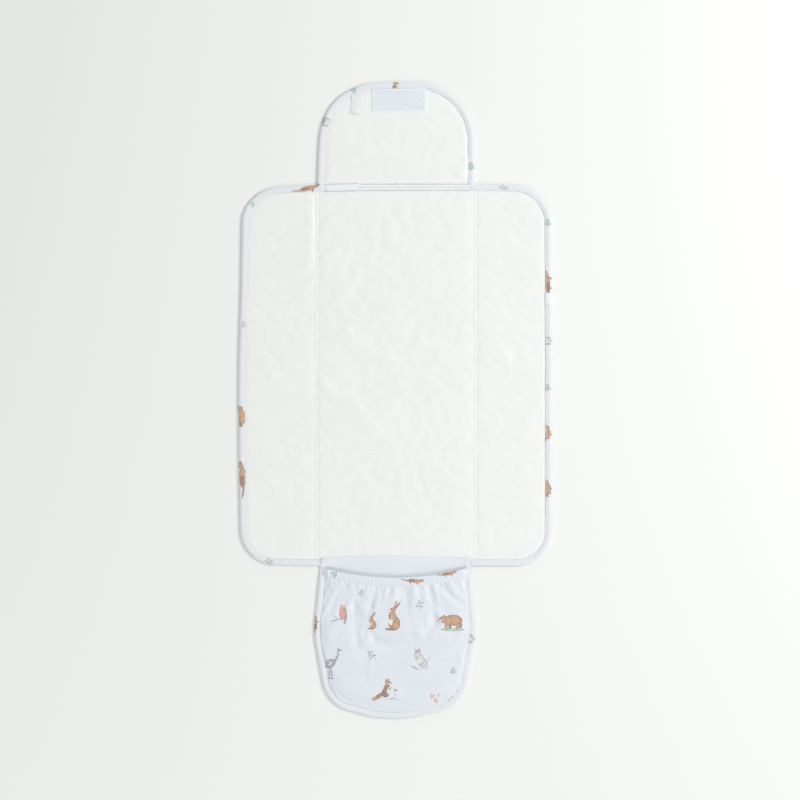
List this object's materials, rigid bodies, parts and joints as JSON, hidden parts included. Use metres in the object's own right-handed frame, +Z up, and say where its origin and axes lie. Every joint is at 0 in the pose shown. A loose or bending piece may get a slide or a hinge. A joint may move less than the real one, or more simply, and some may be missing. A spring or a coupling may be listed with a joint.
{
  "type": "changing pad",
  "caption": "Fold-out quilted changing pad with a hook-and-loop closing flap and a gathered pocket, which folds into a clutch.",
  "frame": {"origin": "on the floor, at the bottom centre of the whole open pad's box", "axes": "+X to the right and +Y towards the flap at the head end, seen from above with the lining up; +Z up, out of the lining"},
  "size_m": [0.484, 0.986, 0.009],
  "materials": {
    "lining": "smooth wipeable coated fabric, soft sheen",
    "wadding": "soft polyester wadding",
    "outer_print": null,
    "binding_print": null,
    "pocket_print": null,
    "pocket_lining": "pale plain weave",
    "seam_stitching": "layers stitched flat with cream thread",
    "hook_tape": "pale blue nylon hook tape, matt",
    "loop_tape": "pale blue nylon loop tape, brushed",
    "care_label": "blank white satin ribbon",
    "elastic": "white knitted elastic"
  },
  "bodies": {
    "upper_centre": {"binding_upper_centre": "binding_print", "flap_fold_seam": "seam_stitching", "fold_seams_upper_centre": "seam_stitching", "lining_upper_centre": "lining", "outer_upper_centre": "outer_print", "wadding_upper_centre": "wadding"},
    "upper_left": {"binding_upper_left": "binding_print", "fold_seam_upper_left": "seam_stitching", "lining_upper_left": "lining", "outer_upper_left": "outer_print", "wadding_upper_left": "wadding"},
    "upper_right": {"binding_upper_right": "binding_print", "fold_seam_upper_right": "seam_stitching", "lining_upper_right": "lining", "outer_upper_right": "outer_print", "wadding_upper_right": "wadding"},
    "middle_centre": {"fold_seams_middle_centre": "seam_stitching", "lining_middle_centre": "lining", "loop_tape": "loop_tape", "outer_middle_centre": "outer_print", "wadding_middle_centre": "wadding"},
    "middle_left": {"binding_middle_left": "binding_print", "fold_seam_middle_left": "seam_stitching", "lining_middle_left": "lining", "outer_middle_left": "outer_print", "wadding_middle_left": "wadding"},
    "middle_right": {"binding_middle_right": "binding_print", "fold_seam_middle_right": "seam_stitching", "lining_middle_right": "lining", "outer_middle_right": "outer_print", "wadding_middle_right": "wadding"},
    "lower_centre": {"binding_lower_centre": "binding_print", "fold_seams_lower_centre": "seam_stitching", "lining_lower_centre": "lining", "outer_lower_centre": "outer_print", "pocket_root_panel": "pocket_lining", "wadding_lower_centre": "wadding"},
    "lower_left": {"binding_lower_left": "binding_print", "lining_lower_left": "lining", "outer_lower_left": "outer_print", "wadding_lower_left": "wadding"},
    "lower_right": {"binding_lower_right": "binding_print", "lining_lower_right": "lining", "outer_lower_right": "outer_print", "wadding_lower_right": "wadding"},
    "flap": {"care_label": "care_label", "flap_binding": "binding_print", "flap_lining": "lining", "flap_outer": "outer_print", "flap_wadding": "wadding", "hook_tape": "hook_tape"},
    "pocket": {"mouth_elastic": "elastic", "pocket_back_lining": "pocket_lining", "pocket_back_outer": "outer_print", "pocket_binding": "binding_print", "pocket_front": "pocket_print"}
  },
  "joints": [
    {"name": "upper_fold", "type": "hinge", "parent": "upper_centre", "child": "middle_centre", "pos_m": [0, 0.123, 0.0183], "axis": [-1, 0, 0], "range_deg": [0, 179.9]},
    {"name": "lower_fold", "type": "hinge", "parent": "middle_centre", "child": "lower_centre", "pos_m": [0, -0.076, 0.0089], "axis": [-1, 0, 0], "range_deg": [0, 179.9]},
    {"name": "pocket_fold", "type": "hinge", "parent": "lower_centre", "child": "pocket", "pos_m": [0, -0.27, -0.0003], "axis": [1, 0, 0], "range_deg": [0, 179.9]},
    {"name": "flap_fold", "type": "hinge", "parent": "upper_centre", "child": "flap", "pos_m": [0, 0.34, 0.02095], "axis": [1, 0, 0], "range_deg": [0, 179.9]},
    {"name": "left_fold", "type": "hinge", "parent": "upper_centre", "child": "upper_left", "pos_m": [-0.123, 0, 0.0043], "axis": [0, 1, 0], "range_deg": [0, 179.9]},
    {"name": "left_fold_middle", "type": "hinge", "parent": "middle_centre", "child": "middle_left", "pos_m": [-0.123, 0, 0.0043], "axis": [0, 1, 0], "range_deg": [0, 179.9]},
    {"name": "left_fold_lower", "type": "hinge", "parent": "lower_centre", "child": "lower_left", "pos_m": [-0.123, 0, 0.0043], "axis": [0, 1, 0], "range_deg": [0, 179.9]},
    {"name": "right_fold", "type": "hinge", "parent": "upper_centre", "child": "upper_right", "pos_m": [0.123, 0, 0.0043], "axis": [0, -1, 0], "range_deg": [0, 179.9]},
    {"name": "right_fold_middle", "type": "hinge", "parent": "middle_centre", "child": "middle_right", "pos_m": [0.123, 0, 0.0043], "axis": [0, -1, 0], "range_deg": [0, 179.9]},
    {"name": "right_fold_lower", "type": "hinge", "parent": "lower_centre", "child": "lower_right", "pos_m": [0.123, 0, 0.0043], "axis": [0, -1, 0], "range_deg": [0, 179.9]}
  ],
  "couplings": [
    {"joint": "left_fold_middle", "follows": "left_fold", "ratio": 1},
    {"joint": "left_fold_lower", "follows": "left_fold", "ratio": 1},
    {"joint": "right_fold_middle", "follows": "right_fold", "ratio": 1},
    {"joint": "right_fold_lower", "follows": "right_fold", "ratio": 1}
  ]
}
